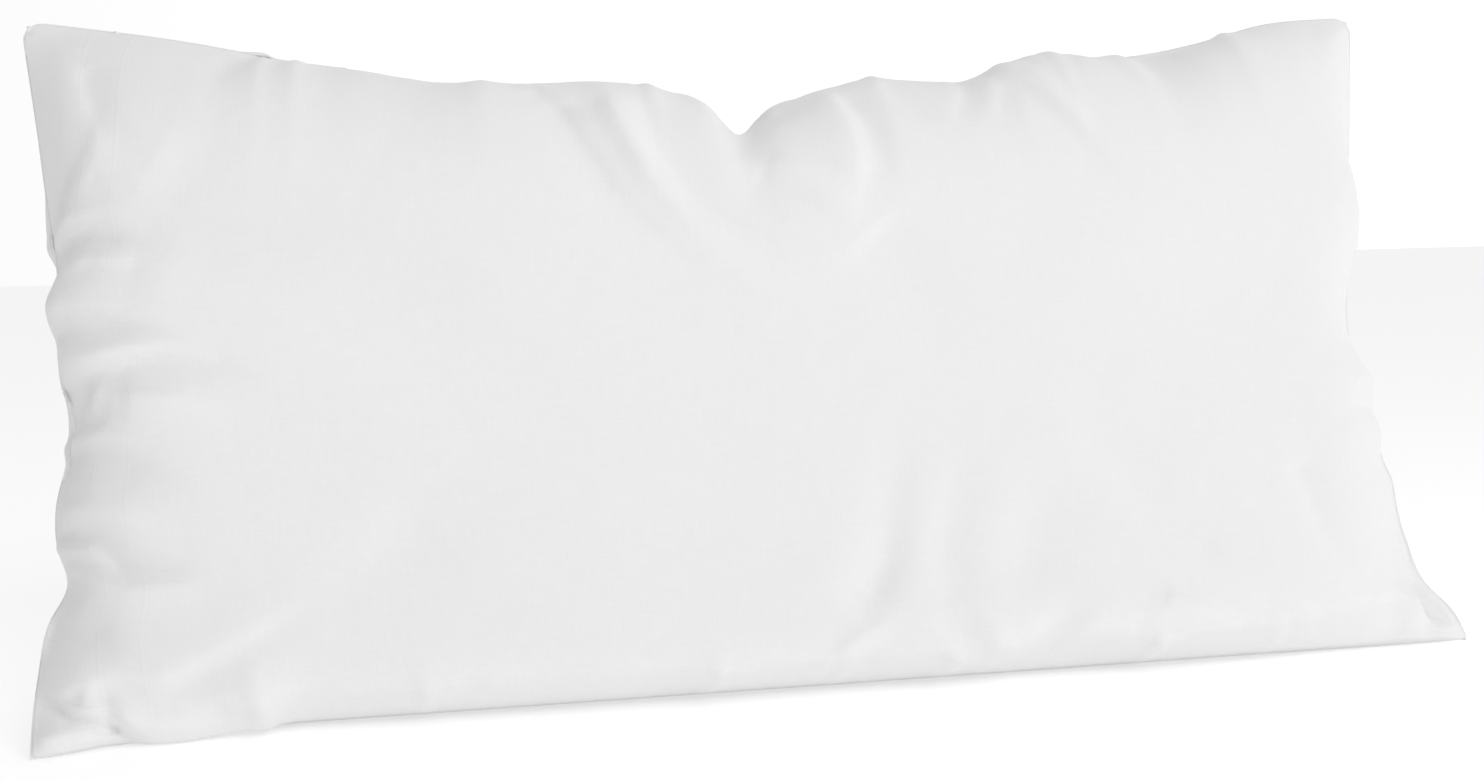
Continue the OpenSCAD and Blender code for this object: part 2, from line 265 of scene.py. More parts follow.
# The seams were followed on the photo. A separate script, with a camera fitted to
# the photo, worked out where those places lie on the face. Half of these points
# are still within 1.5 mm of that, and the others were moved.
TOP_SEAM = [
    [-0.391, 0.385], [-0.313, 0.374], [-0.223, 0.357], [-0.147, 0.344], [-0.083, 0.344],
    [-0.050, 0.339], [-0.026, 0.329], [-0.006, 0.311], [0.014, 0.327], [0.040, 0.337],
    [0.115, 0.344], [0.142, 0.347], [0.170, 0.358], [0.229, 0.359], [0.290, 0.369],
    [0.331, 0.380], [0.390, 0.385],
]
LEFT_SEAM = [
    [0.000, -0.387], [0.035, -0.385], [0.060, -0.381], [0.078, -0.372], [0.100, -0.377],
    [0.118, -0.377], [0.142, -0.371], [0.160, -0.366], [0.183, -0.373], [0.215, -0.375],
    [0.255, -0.375], [0.275, -0.378], [0.320, -0.383], [0.385, -0.391],
]
RIGHT_SEAM = [
    [0.000, 0.408], [0.018, 0.400], [0.036, 0.385], [0.062, 0.377], [0.100, 0.371],
    [0.146, 0.366], [0.185, 0.361], [0.217, 0.364], [0.245, 0.367], [0.315, 0.378],
    [0.385, 0.390],
]

# ---- Folds on the front ----

# The places of the folds were found in the same way, and then mostly moved. The
# heights and widths were set one by one.
# Each fold is (height, left width, right width, [x, s] points along it). Left
# and right are as seen going along the points. A fold with a height below zero
# is a valley. A fold fades towards its last point.
FOLDS = [
    # The long ridge from the top seam towards the middle, and its valleys
    (0.0052, 0.009, 0.008, [
        [-0.084, 0.330], [-0.078, 0.304], [-0.066, 0.274],
        [-0.045, 0.246], [-0.012, 0.218], [0.024, 0.196],
    ]),
    (-0.0034, 0.006, 0.016, [
        [-0.114, 0.324], [-0.102, 0.296], [-0.086, 0.264],
        [-0.062, 0.236], [-0.024, 0.206], [0.014, 0.184],
    ]),
    (-0.0036, 0.022, 0.007, [
        [-0.062, 0.326], [-0.056, 0.290], [-0.040, 0.262], [-0.008, 0.240], [0.030, 0.214],
    ]),
    (-0.0026, 0.005, 0.007, [[-0.124, 0.332], [-0.108, 0.318], [-0.094, 0.316], [-0.080, 0.330]]),
    (0.0020, 0.005, 0.006, [[-0.130, 0.338], [-0.112, 0.330], [-0.098, 0.328]]),
    # Around the notch in the top seam
    (-0.0048, 0.008, 0.008, [[-0.006, 0.324], [-0.007, 0.308], [-0.014, 0.290], [-0.022, 0.276]]),
    (0.0040, 0.014, 0.006, [[-0.036, 0.336], [-0.026, 0.318], [-0.018, 0.306]]),
    (0.0032, 0.006, 0.012, [[0.022, 0.336], [0.010, 0.320], [0.000, 0.310]]),
    (-0.0030, 0.008, 0.005, [[0.004, 0.312], [0.020, 0.315], [0.042, 0.324]]),
    # Right of the notch
    (0.0034, 0.006, 0.016, [
        [0.040, 0.330], [0.046, 0.306], [0.050, 0.284], [0.044, 0.256], [0.036, 0.240],
    ]),
    (-0.0034, 0.010, 0.006, [[0.052, 0.326], [0.061, 0.302], [0.064, 0.280], [0.060, 0.256]]),
    (-0.0022, 0.007, 0.010, [[-0.006, 0.276], [0.018, 0.262], [0.040, 0.240]]),
    (0.0018, 0.006, 0.012, [[0.004, 0.286], [0.026, 0.274], [0.050, 0.248]]),
    (-0.0020, 0.006, 0.012, [[0.070, 0.330], [0.096, 0.314], [0.112, 0.300]]),
    (0.0034, 0.006, 0.012, [[0.144, 0.350], [0.136, 0.326], [0.122, 0.290]]),
    (-0.0034, 0.012, 0.005, [[0.128, 0.344], [0.122, 0.322], [0.108, 0.296]]),
    (0.0026, 0.005, 0.010, [[0.142, 0.344], [0.158, 0.346], [0.176, 0.318], [0.196, 0.286]]),
    (-0.0032, 0.005, 0.012, [[0.148, 0.334], [0.166, 0.316], [0.186, 0.286], [0.206, 0.254]]),
    (0.0018, 0.006, 0.014, [[0.198, 0.352], [0.214, 0.332], [0.226, 0.300]]),
    # Gathers along the left end
    (0.0036, 0.004, 0.010, [[-0.376, 0.250], [-0.364, 0.280], [-0.350, 0.304], [-0.346, 0.330]]),
    (-0.0029, 0.010, 0.006, [[-0.356, 0.350], [-0.349, 0.318], [-0.334, 0.292]]),
    (-0.0052, 0.005, 0.012, [[-0.378, 0.254], [-0.354, 0.254], [-0.336, 0.248], [-0.310, 0.230]]),
    (0.0039, 0.010, 0.004, [[-0.378, 0.236], [-0.354, 0.240], [-0.330, 0.236], [-0.300, 0.214]]),
    (-0.0062, 0.005, 0.014, [[-0.378, 0.214], [-0.350, 0.206], [-0.322, 0.198], [-0.296, 0.190]]),
    (0.0052, 0.010, 0.004, [[-0.376, 0.190], [-0.350, 0.188], [-0.322, 0.192], [-0.290, 0.194]]),
    (-0.0055, 0.004, 0.010, [
        [-0.378, 0.176], [-0.356, 0.180], [-0.334, 0.184], [-0.290, 0.180], [-0.270, 0.166],
    ]),
    (0.0034, 0.004, 0.004, [[-0.366, 0.150], [-0.354, 0.168], [-0.341, 0.185]]),
    (0.0034, 0.006, 0.012, [[-0.340, 0.166], [-0.310, 0.162], [-0.280, 0.150]]),
    (-0.0057, 0.006, 0.014, [[-0.376, 0.142], [-0.352, 0.140], [-0.330, 0.130], [-0.306, 0.116]]),
    (0.0039, 0.008, 0.006, [[-0.378, 0.114], [-0.356, 0.112], [-0.334, 0.104], [-0.310, 0.100]]),
    (-0.0062, 0.008, 0.004, [
        [-0.376, 0.104], [-0.356, 0.096], [-0.342, 0.084], [-0.320, 0.078], [-0.300, 0.086],
    ]),
    (0.0062, 0.004, 0.012, [
        [-0.376, 0.088], [-0.356, 0.078], [-0.340, 0.070], [-0.314, 0.068], [-0.290, 0.074],
    ]),
    (-0.0055, 0.008, 0.012, [[-0.382, 0.058], [-0.356, 0.050], [-0.342, 0.034]]),
    # The long crease above the lower left corner, and the folds below it
    (0.0024, 0.018, 0.005, [
        [-0.386, 0.030], [-0.354, 0.030], [-0.325, 0.031],
        [-0.300, 0.040], [-0.264, 0.056], [-0.236, 0.072],
    ]),
    (-0.0036, 0.005, 0.010, [
        [-0.386, 0.022], [-0.354, 0.023], [-0.322, 0.023],
        [-0.296, 0.032], [-0.260, 0.048], [-0.236, 0.062],
    ]),
    (0.0044, 0.004, 0.009, [
        [-0.364, 0.026], [-0.350, 0.020], [-0.332, 0.012], [-0.307, 0.007], [-0.280, 0.003],
    ]),
    (-0.0058, 0.008, 0.005, [[-0.276, 0.002], [-0.283, 0.010], [-0.307, 0.018], [-0.340, 0.023]]),
    (-0.0050, 0.004, 0.005, [[-0.346, 0.006], [-0.352, 0.018], [-0.361, 0.026]]),
    # The edge of the corner that lies folded forward
    (0.0040, 0.003, 0.003, [
        [-0.334, 0.007], [-0.350, 0.014], [-0.368, 0.021], [-0.380, 0.032], [-0.388, 0.040],
    ]),
    (-0.0062, 0.003, 0.003, [
        [-0.334, 0.002], [-0.350, 0.009], [-0.368, 0.015], [-0.382, 0.027], [-0.390, 0.036],
    ]),
    (0.0030, 0.003, 0.003, [[-0.384, 0.010], [-0.368, 0.009], [-0.348, 0.001]]),
    # Soft hollows in the face
    (-0.0022, 0.024, 0.018, [[-0.194, 0.100], [-0.206, 0.078], [-0.236, 0.060], [-0.260, 0.050]]),
    (-0.0052, 0.030, 0.026, [
        [-0.320, 0.292], [-0.274, 0.268], [-0.233, 0.250], [-0.170, 0.205], [-0.090, 0.150],
    ]),
    (0.0030, 0.028, 0.034, [[-0.330, 0.235], [-0.280, 0.215], [-0.220, 0.170], [-0.160, 0.120]]),
    (-0.0026, 0.014, 0.010, [[0.026, 0.030], [0.044, 0.066], [0.056, 0.110], [0.060, 0.150]]),
    (-0.0024, 0.010, 0.014, [[0.080, 0.034], [0.078, 0.064], [0.088, 0.100], [0.094, 0.130]]),
    (-0.0024, 0.010, 0.016, [[0.236, 0.052], [0.200, 0.078], [0.168, 0.118], [0.150, 0.160]]),
    (-0.0024, 0.016, 0.020, [[0.118, 0.044], [0.130, 0.080], [0.126, 0.120]]),
    (-0.0028, 0.022, 0.022, [[0.052, 0.240], [0.078, 0.208], [0.118, 0.160]]),
    # Small folds where the front meets the floor
    (0.0032, 0.006, 0.010, [[0.004, 0.002], [0.026, 0.018], [0.050, 0.030]]),
    (-0.0038, 0.008, 0.005, [[0.014, 0.002], [0.034, 0.014], [0.062, 0.026]]),
    (-0.0032, 0.006, 0.008, [[0.090, 0.002], [0.082, 0.016], [0.066, 0.032]]),
    (0.0035, 0.006, 0.008, [[0.110, 0.002], [0.100, 0.018], [0.082, 0.036]]),
    (-0.0038, 0.008, 0.006, [[0.120, 0.002], [0.134, 0.018], [0.152, 0.036]]),
    (0.0035, 0.008, 0.006, [[0.144, 0.002], [0.154, 0.018], [0.176, 0.034]]),
    (-0.0035, 0.006, 0.006, [[0.178, 0.016], [0.205, 0.012], [0.236, 0.002]]),
    (0.0032, 0.006, 0.006, [[0.196, 0.032], [0.222, 0.024], [0.250, 0.008]]),
    (0.0030, 0.006, 0.006, [[0.298, 0.002], [0.284, 0.016], [0.262, 0.034]]),
    (-0.0024, 0.012, 0.008, [[0.284, 0.104], [0.297, 0.070], [0.318, 0.040]]),
    (-0.0022, 0.010, 0.010, [[0.036, 0.040], [0.048, 0.062], [0.056, 0.090]]),
    # The lower right corner, where the front folds over the corner's ear
    (0.0040, 0.008, 0.010, [[0.362, 0.002], [0.366, 0.040], [0.362, 0.080], [0.352, 0.120]]),
    (-0.0058, 0.008, 0.005, [[0.382, 0.002], [0.379, 0.030], [0.374, 0.060], [0.366, 0.096]]),
    (0.0030, 0.004, 0.004, [[0.395, 0.006], [0.390, 0.028], [0.382, 0.044]]),
    # The right edge
    (-0.0040, 0.008, 0.008, [[0.366, 0.176], [0.362, 0.206], [0.358, 0.236]]),
]


def fold_heights(x, s):
    """The height that all folds together add at each x and s."""
    height = np.zeros_like(x)
    for peak, left, right, points in FOLDS:
        nearest = np.full_like(x, np.inf)
        place = np.zeros_like(x)
        width = np.full_like(x, left)
        parts = len(points) - 1
        for k in range(parts):
            (ax, az), (bx, bz) = points[k], points[k + 1]
            length = math.hypot(bx - ax, bz - az)
            along = ((x - ax) * (bx - ax) + (s - az) * (bz - az)) / length**2
            aside = ((bx - ax) * (s - az) - (bz - az) * (x - ax)) / length
            t = np.clip(along, 0, 1)
            gap = np.hypot(x - ax - t * (bx - ax), s - az - t * (bz - az))
            closer = gap < nearest
            nearest = np.where(closer, gap, nearest)
            place = np.where(closer, (k + t) / parts, place)
            wide = left + (right - left) * ease(0.5 - aside / 0.004)
            width = np.where(closer, wide, width)
        fade = ease(place / 0.2 + 0.4) * ease((1 - place) / 0.7)
        height += peak * fade * np.exp(-((nearest / width) ** 2))
    return height


# ---- The shape of the cover ----

FRONT = -1
BACK = 1
ZIP_U = 0.0635
FULLNESS = {FRONT: 1.6, BACK: 1.2}
FULL_U = np.linspace(0, 1, 361)
FULL_V = np.linspace(0, 1, 181)


def seam_points(u, v):
    """Where the four seams run, as [x, s], for the shares u across and v up."""
    right_low = smooth_line(RIGHT_SEAM, 0.0)
    left_low = smooth_line(LEFT_SEAM, 0.0)
    bottom = np.stack([left_low + (right_low - left_low) * u, np.full_like(u, SEAM_LIFT)], axis=-1)
    top_x = TOP_SEAM[0][0] + (TOP_SEAM[-1][0] - TOP_SEAM[0][0]) * u
    top = np.stack([top_x, smooth_line(TOP_SEAM, top_x)], axis=-1)
    side_s = SEAM_LIFT + (TOP_SEAM[0][1] - SEAM_LIFT) * v
    left = np.stack([smooth_line(LEFT_SEAM, side_s), side_s], axis=-1)
    right = np.stack([smooth_line(RIGHT_SEAM, side_s), side_s], axis=-1)
    return bottom, top, left, right


def follow_outline(points, u, v):
    """Moves a panel within its plane until its edges lie on the seams. The move
    fades inwards from each edge."""
    bottom, top, left, right = seam_points(u, v)
    plane = points[..., ::2]
    moves = [bottom - plane[0], top - plane[-1], left - plane[:, 0], right - plane[:, -1]]
    low, high = ((1 - v) ** 2)[:, None, None], (v**2)[:, None, None]
    near_left, near_right = ((1 - u) ** 5)[None, :, None], (u**5)[None, :, None]
    moved = low * moves[0][None] + high * moves[1][None]
    moved += near_left * moves[2][:, None] + near_right * moves[3][:, None]
    for along, edge in ((low, moves[0]), (high, moves[1])):
        moved -= along * (near_left * edge[0] + near_right * edge[-1])
    points[..., 0] += moved[..., 0]
    points[..., 2] += moved[..., 1]


def lay_flat_along_zip(points, u):
    """Makes the back straight and flat along the zip."""
    along = (u - ZIP_U) * FLAT_LENGTH
    flat = ease((0.068 - along) / 0.05) * ease(u / (0.6 * ZIP_U))
    s = points[..., 2]
    n = points[..., 1]
    low_edge, high_edge = n[0][None, :], n[-1][None, :]
    edge_n = np.where(s < FLAT_HEIGHT / 2, low_edge, high_edge)
    top = s[-1][None, :]
    rise = ease((s - SEAM_LIFT) / 0.022) ** 0.5 * ease((top - s) / 0.03) ** 0.5
    from_ends = ease((s - SEAM_LIFT) / 0.025) * ease((top - s) / 0.044)
    points[..., 0] += flat * from_ends * (ZIP_X + along - points[..., 0])
    points[..., 1] += flat * (edge_n + (ZIP_N - edge_n) * rise - n)


def from_edges(u, v, start, reach):
    """0 up to start from the seams, and 1 further in than start + reach."""
    across = np.minimum(u, 1 - u) * FLAT_LENGTH
    up = np.minimum(v, 1 - v) * FLAT_HEIGHT
    return ease((np.minimum(across[None, :], up[:, None]) - start) / reach)


def softened(grid, rounds, keep):
    """A grid with its small wrinkles flattened, except for the share keep. Its
    edges stay."""
    smooth = grid.copy()
    for _ in range(rounds):
        inner = smooth[:-2, 1:-1] + smooth[2:, 1:-1] + smooth[1:-1, :-2] + smooth[1:-1, 2:]
        smooth[1:-1, 1:-1] = (smooth[1:-1, 1:-1] * 4 + inner) / 8
    return keep * grid + (1 - keep) * smooth


def round_top_corners(points):
    """The sewn corners turn with a small radius."""
    across = (np.minimum(FULL_U, 1 - FULL_U) * FLAT_LENGTH)[None, :]
    down = ((1 - FULL_V) * FLAT_HEIGHT)[:, None]
    near = 0.0035 * np.exp(-((across**2 + down**2) / 0.007**2))
    points[..., 0] -= np.sign(points[..., 0]) * near
    points[..., 2] -= near


def panel(grid, side):
    """One panel of the filled cover, before its corner is brought forward."""
    points = sample(grid, FULL_U, FULL_V)
    fullest = np.abs(grid[..., 1]).max()
    bulge = FRONT_BULGE if side == FRONT else BACK_BULGE
    # The filling sinks, so the panel is fullest below the middle.
    sunk = sample(grid, FULL_U, FULL_V**0.68)[..., 1]
    # The filling packs the cover out to a flat face with full shoulders.
    depth = np.clip(side * sunk / fullest, 0, 1)
    packed = side * bulge * (1 - (1 - depth) ** FULLNESS[side])
    points[..., 1] = sunk + (packed - sunk) * from_edges(FULL_U, FULL_V, 0, 0.03)
    follow_outline(points, FULL_U, FULL_V)
    round_top_corners(points)
    if side == FRONT:
        heights = fold_heights(points[..., 0], points[..., 2])
        points[..., 1] -= heights * from_edges(FULL_U, FULL_V, 0, 0.005)
    else:
        lay_flat_along_zip(points, FULL_U)
    return points


def keep_apart(front, back):
    """Puts each point of the back straight behind the front's, except beside
    the zip, and pushes it out where it would pass through the front."""
    past_zip = ease(((FULL_U - ZIP_U) * FLAT_LENGTH - 0.068) / 0.05)
    for axis in (0, 2):
        back[..., axis] += past_zip * (front[..., axis] - back[..., axis])
    least = 0.011 * from_edges(FULL_U, FULL_V, 0, 0.02)
    back[..., 1] += np.maximum(least - (back[..., 1] - front[..., 1]), 0)


def placed(points):
    """From x, n, s to the part's frame."""
    x, n, s = np.moveaxis(points, -1, 0)
    y = n * math.cos(LEAN) + s * math.sin(LEAN) - MIDDLE_OF_DEPTH
    z = s * math.cos(LEAN) - n * math.sin(LEAN)
    return np.stack([x, y, z], axis=-1)


def settled(points, u, v, floor, by_zip=False):
    """Points of a layer in the part's frame, with the lower left corner folded
    forward and the base flattened on the floor. by_zip is for the back, which
    the zip holds straight beside that corner."""
    points = points.copy()
    away = np.hypot(u[None, :] * FLAT_LENGTH, v[:, None] * FLAT_HEIGHT)
    near = np.exp(-((away / CORNER_REACH) ** 2))
    if by_zip:
        across, up = (u * FLAT_LENGTH - 0.012) / 0.02, (v * FLAT_HEIGHT - 0.004) / 0.016
        near *= 1 - ease(across)[None, :] * ease(up)[:, None]
    points[..., 1] -= CORNER_FORWARD * near
    points[..., 2] -= CORNER_DOWN * near
    # Beside that corner the face bulges forward onto the floor.
    x, n, s = np.moveaxis(points, -1, 0)
    bulging = np.exp(-(((x - PUFF_X) / PUFF_HALF) ** 4) - (s / PUFF_HEIGHT) ** 2)
    bulging *= ease(-n / 0.02)
    points[..., 1] -= PUFF_FORWARD * bulging
    points[..., 2] -= PUFF_DOWN * bulging
    n = points[..., 1]
    points = placed(points)
    squashed = points[..., 2] - BASE_SQUASH * ease((n - ZIP_N) / 0.03)
    points[..., 2] = np.maximum(squashed, floor)
    return points


def cover_part(shape, u, v, by_zip=False):
    """Part of a panel's outer face, in the part's frame."""
    return settled(sample(shape, u, v), u, v, COVER_LIFT, by_zip)


def layer(side, share, inset):
    """A layer inside the cover, at a share of the way from the middle of the
    filling to one panel, with its edges inset from the seams. It leaves room
    for the zip."""
    u = np.linspace(inset / FLAT_LENGTH, 1 - inset / FLAT_LENGTH, LAYER_ACROSS)
    v = np.linspace(inset / FLAT_HEIGHT, 1 - inset / FLAT_HEIGHT, LAYER_UP)
    front, back = sample(front_shape, u, v), sample(back_shape, u, v)
    beside_zip = np.abs(back[..., 0] - ZIP_X) - ZIP_ROOM_HALF
    back[..., 1] = np.minimum(back[..., 1], ZIP_ROOM + 0.09 * ease(beside_zip / 0.05))
    middle = (front + back) / 2
    far_side = front if side == FRONT else back
    spread = share * from_edges(u, v, LAYER_START, 0.04)[..., None]
    points = middle + spread * (far_side - middle)
    below_seam = smooth_line(TOP_SEAM, points[..., 0]) - LAYER_DROP
    points[..., 2] = np.minimum(points[..., 2], below_seam)
    return settled(points, u, v, LAYER_FLOOR + (1 - share) * 0.008), u, v


# ---- Meshes ----


def mesh_object(name, points, faces, flat=None):
    """A smooth mesh of quads. flat gives each vertex its place on the flat
    cloth in metres, for the UV map."""
    points = np.ascontiguousarray(points, np.float32)
    faces = np.ascontiguousarray(faces, np.int32)
    mesh = bpy.data.meshes.new(name)
    mesh.vertices.add(len(points))
    mesh.vertices.foreach_set("co", points.ravel())
    mesh.loops.add(faces.size)
    mesh.loops.foreach_set("vertex_index", faces.ravel())
    mesh.polygons.add(len(faces))
    mesh.polygons.foreach_set("loop_start", np.arange(0, faces.size, 4, dtype=np.int32))
    mesh.update(calc_edges=True)
    if flat is not None:
        layer = mesh.uv_layers.new(name="cloth")
        layer.data.foreach_set("uv", np.float32(flat[faces.ravel()].ravel()))
    mesh.shade_smooth()
    piece = bpy.data.objects.new(name, mesh)
    bpy.context.scene.collection.objects.link(piece)
    return piece


def grid_object(name, points, u, v, flip=False):
    """A sheet through a grid of points."""
    ids = np.arange(points.shape[0] * points.shape[1]).reshape(points.shape[:2])
    faces = grid_faces(ids)
    if flip:
        faces = faces[:, ::-1]
    flat = np.stack(np.meshgrid(u * FLAT_LENGTH, v * FLAT_HEIGHT), axis=-1).reshape(-1, 2)
    return mesh_object(name, points.reshape(-1, 3), faces, flat)


def filling_object(name, near, far, u, v):
    """A closed body between a layer near the front and one behind it."""
    rows, cols = near.shape[:2]
    near_ids = np.arange(rows * cols).reshape(rows, cols)
    far_ids = near_ids + rows * cols
    sides = [near_ids[0, :-1], near_ids[:-1, -1], near_ids[-1, :0:-1], near_ids[:0:-1, 0]]
    rim = np.concatenate(sides)
    after = np.roll(rim, -1)
    band = np.stack([rim + rows * cols, after + rows * cols, after, rim], axis=1)
    faces = np.concatenate([grid_faces(near_ids), grid_faces(far_ids)[:, ::-1], band])
    flat = np.stack(np.meshgrid(u * FLAT_LENGTH, v * FLAT_HEIGHT), axis=-1).reshape(-1, 2)
    points = np.concatenate([near.reshape(-1, 3), far.reshape(-1, 3)])
    return mesh_object(name, points, faces, np.concatenate([flat, flat]))


def tube_object(name, paths, radius, beside, sides=8):
    """Round threads or wires along equally long paths. beside is a direction
    that no path runs along. Both ends of each are closed to a point."""
    runs = np.gradient(paths, axis=1)
    runs /= np.linalg.norm(runs, axis=-1, keepdims=True)
    first = np.cross(runs, np.asarray(beside, float))
    first /= np.linalg.norm(first, axis=-1, keepdims=True)
    second = np.cross(runs, first)
    turn = np.linspace(0, 2 * math.pi, sides, endpoint=False)
    ring = first[:, :, None] * np.cos(turn)[:, None] + second[:, :, None] * np.sin(turn)[:, None]
    width = np.full(paths.shape[1], radius)
    width[[0, -1]] = radius * 0.02
    points = paths[:, :, None] + ring * width[None, :, None, None]
    ids = np.arange(points.size // 3).reshape(points.shape[:3])
    after = np.roll(ids, -1, axis=2)
    corners = [ids[:, :-1], after[:, :-1], after[:, 1:], ids[:, 1:]]
    faces = np.stack([c.ravel() for c in corners], axis=1)
    length = np.arange(paths.shape[1]) * np.linalg.norm(np.diff(paths[0], axis=0), axis=1).mean()
    flat = np.broadcast_to(length[None, :, None], ids.shape)
    round_it = np.broadcast_to(turn * radius, ids.shape)
    return mesh_object(
        name, points.reshape(-1, 3), faces, np.stack([round_it.ravel(), flat.ravel()], axis=1)
    )


def give_thickness(piece, thickness, offset=-1):
    """Makes a sheet a closed solid. Offset -1 keeps its outer face and 0 its middle."""
    solid = piece.modifiers.new("thickness", "SOLIDIFY")
    solid.thickness = thickness
    solid.offset = offset


def finish_piece(piece, body, material, nodes):
    """Gives a piece its material, and says what it moves with and stands for."""
    piece.data.materials.append(material)
    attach(piece, body)
    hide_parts(*nodes)


# ---- The zip ----


def on_zip(x, n, s):
    """Points beside the zip, x from its middle, in the part's frame."""
    return placed(np.stack(np.broadcast_arrays(ZIP_X + x, n, s), axis=-1))


def zip_tape(name, side):
    """One woven tape, from its coil outwards. side is 1 or -1."""
    s = np.linspace(ZIP_LOW - TAPE_PAST_ZIP, ZIP_HIGH + TAPE_PAST_ZIP, 260)
    x = np.linspace(COIL_OUTER + 0.0001, TAPE_OUTER, 12) * side
    x = np.sort(x)
    points = on_zip(x[None, :], TAPE_N, s[:, None])
    tape = grid_object(name, points, x / FLAT_LENGTH, s / FLAT_HEIGHT)
    give_thickness(tape, TAPE_THICK, 0)
    return tape


def zip_coil(name, side):
    """A nylon coil: one wire wound in flat turns along the edge of its tape."""
    turns = round((ZIP_HIGH - ZIP_LOW) / COIL_PITCH)
    steps = turns * 12
    t = np.linspace(0, turns * 2 * math.pi, steps + 1)
    wide = (COIL_OUTER - COIL_INNER) / 2 - COIL_WIRE
    high = (COIL_TOP - COIL_BASE) / 2 - COIL_WIRE
    x = side * ((COIL_OUTER + COIL_INNER) / 2 - wide * np.cos(t + (side < 0) * math.pi))
    n = (COIL_TOP + COIL_BASE) / 2 + high * np.sin(t)
    s = ZIP_LOW + COIL_WIRE + (ZIP_HIGH - ZIP_LOW - 2 * COIL_WIRE) * t / t[-1]
    return tube_object(name, on_zip(x, n, s)[None], COIL_WIRE, (0, 0, 1), 6)


def zip_stitches():
    """Two rows of machine stitches that hold the tapes to the cover."""
    starts = np.arange(ZIP_LOW - 0.006, ZIP_HIGH + 0.004, STITCH + STITCH_GAP)
    t = np.linspace(0, 1, 7)
    s = starts[:, None] + t[None, :] * STITCH
    n = ZIP_N - 0.00012 + 0.0003 * np.sin(math.pi * t)[None, :]
    rows = [on_zip(side * STITCH_ROW, n, s) for side in (-1, 1)]
    return tube_object("zip_stitches", np.concatenate(rows), STITCH_RADIUS, (1, 0, 0))


def zip_tacks():
    """Dense zigzag stitches across both ends of the zip."""
    x = np.linspace(-TACK_HALF, TACK_HALF, 53)
    swing = np.where(np.arange(53) % 2 == 0, -1, 1) * TACK_SWING
    middles = (ZIP_LOW - TACK_PAST_ZIP, ZIP_HIGH + TACK_PAST_ZIP)
    tacks = [on_zip(x, ZIP_N + TACK_RADIUS, middle + swing) for middle in middles]
    return tube_object("zip_tacks", np.stack(tacks), TACK_RADIUS, OUT_OF_FACE, 6)


def zip_end_seam(name, shape, v):
    """Where the slot of the zip is sewn closed, with a groove along the seam."""
    u = np.linspace(ZIP_U - SLOT_U, ZIP_U + SLOT_U, 31)
    points = sample(shape, u, v)
    beside = (u - ZIP_U) * FLAT_LENGTH
    points[..., 1] -= 0.0014 * np.exp(-((beside / 0.0008) ** 2))[None, :]
    return grid_object(name, settled(points, u, v, COVER_LIFT, True), u, v, flip=True)


# ---- Seam allowances ----


def allowance(name, shapes, u, v):
    """The cut edges of the panels, lying together inside the cover."""
    middle = sum(sample(shape, u, v) for shape in shapes) / 2
    strip = grid_object(name, settled(middle, u, v, ALLOWANCE_LIFT), u, v)
    give_thickness(strip, ALLOWANCE_THICK, 0)
    return strip


# ---- The care label ----


def care_label(material, hinge, along):
    """A blank ribbon folded over the seam, curving a little as it hangs."""
    t = np.linspace(0, 1, 21)
    slope = np.radians(LABEL_SLOPE + 7 * np.sin(math.pi * t) - 4)
    step = LABEL_SIZE / (len(t) - 1)
    back = np.concatenate([[0], np.cumsum(np.sin(slope[1:]) * step)])
    down = np.concatenate([[0], np.cumsum(-np.cos(slope[1:]) * step)])
    across = np.linspace(-LABEL_SIZE / 2, LABEL_SIZE / 2, 13)
    curl = 0.0006 * (across / (LABEL_SIZE / 2)) ** 2
    lean = Matrix.Rotation(-LEAN, 3, "X")
    behind, up = np.array(lean @ Vector((0, 1, 0))), np.array(lean @ Vector((0, 0, 1)))
    hinge = hinge - LABEL_BELOW * up + LABEL_BEHIND * behind
    points = hinge + across[None, :, None] * along
    points = points + back[:, None, None] * behind
    points = points + (down[:, None, None] + curl[None, :, None]) * up
    label = grid_object("care_ribbon", points, across / FLAT_LENGTH, t * LABEL_SIZE / FLAT_HEIGHT)
    give_thickness(label, LABEL_THICK, 0)
    finish_piece(label, "label", material, ["care_label"])

    rise = np.linspace(-0.006, 0.0, 6)
    root = hinge + across[None, :, None] * along + rise[:, None, None] * up
    root_points = root - 0.0006 * behind * ease(-rise / 0.004)[:, None, None]
    fold = grid_object("care_ribbon_root", root_points, across / FLAT_LENGTH, rise / FLAT_HEIGHT)
    give_thickness(fold, LABEL_THICK, 0)
    finish_piece(fold, "pillow", material, ["care_label_root"])


# ---- Materials ----


def new_material(name, color, roughness, sheen=0.0, metallic=0.0, specular=0.3):
    """A material for one of the record's slots, its constant values set on the
    shader."""
    material = bpy.data.materials.new(name + "_look")
    material["slot"] = name
    material.use_nodes = True
    shader = material.node_tree.nodes["Principled BSDF"]
    shader.inputs["Base Color"].default_value = (*color, 1)
    shader.inputs["Roughness"].default_value = roughness
    shader.inputs["Sheen Weight"].default_value = sheen
    shader.inputs["Sheen Roughness"].default_value = 0.6
    shader.inputs["Metallic"].default_value = metallic
    shader.inputs["Specular IOR Level"].default_value = specular
    return material


def add_node(material, kind, links, **values):
    """Adds a node, sets its values and links its inputs. links maps an input
    to the (node, output) that feeds it."""
    node = material.node_tree.nodes.new(kind)
    for name, value in values.items():
        setattr(node, name, value)
    for name, source in links.items():
        if isinstance(source, tuple) and isinstance(source[0], bpy.types.Node):
            material.node_tree.links.new(source[0].outputs[source[1]], node.inputs[name])
        else:
            node.inputs[name].default_value = source
    return node


def math_node(material, operation, first, second):
    """A sum, product or other operation on two values or node outputs."""
    return add_node(material, "ShaderNodeMath", {0: first, 1: second}, operation=operation)


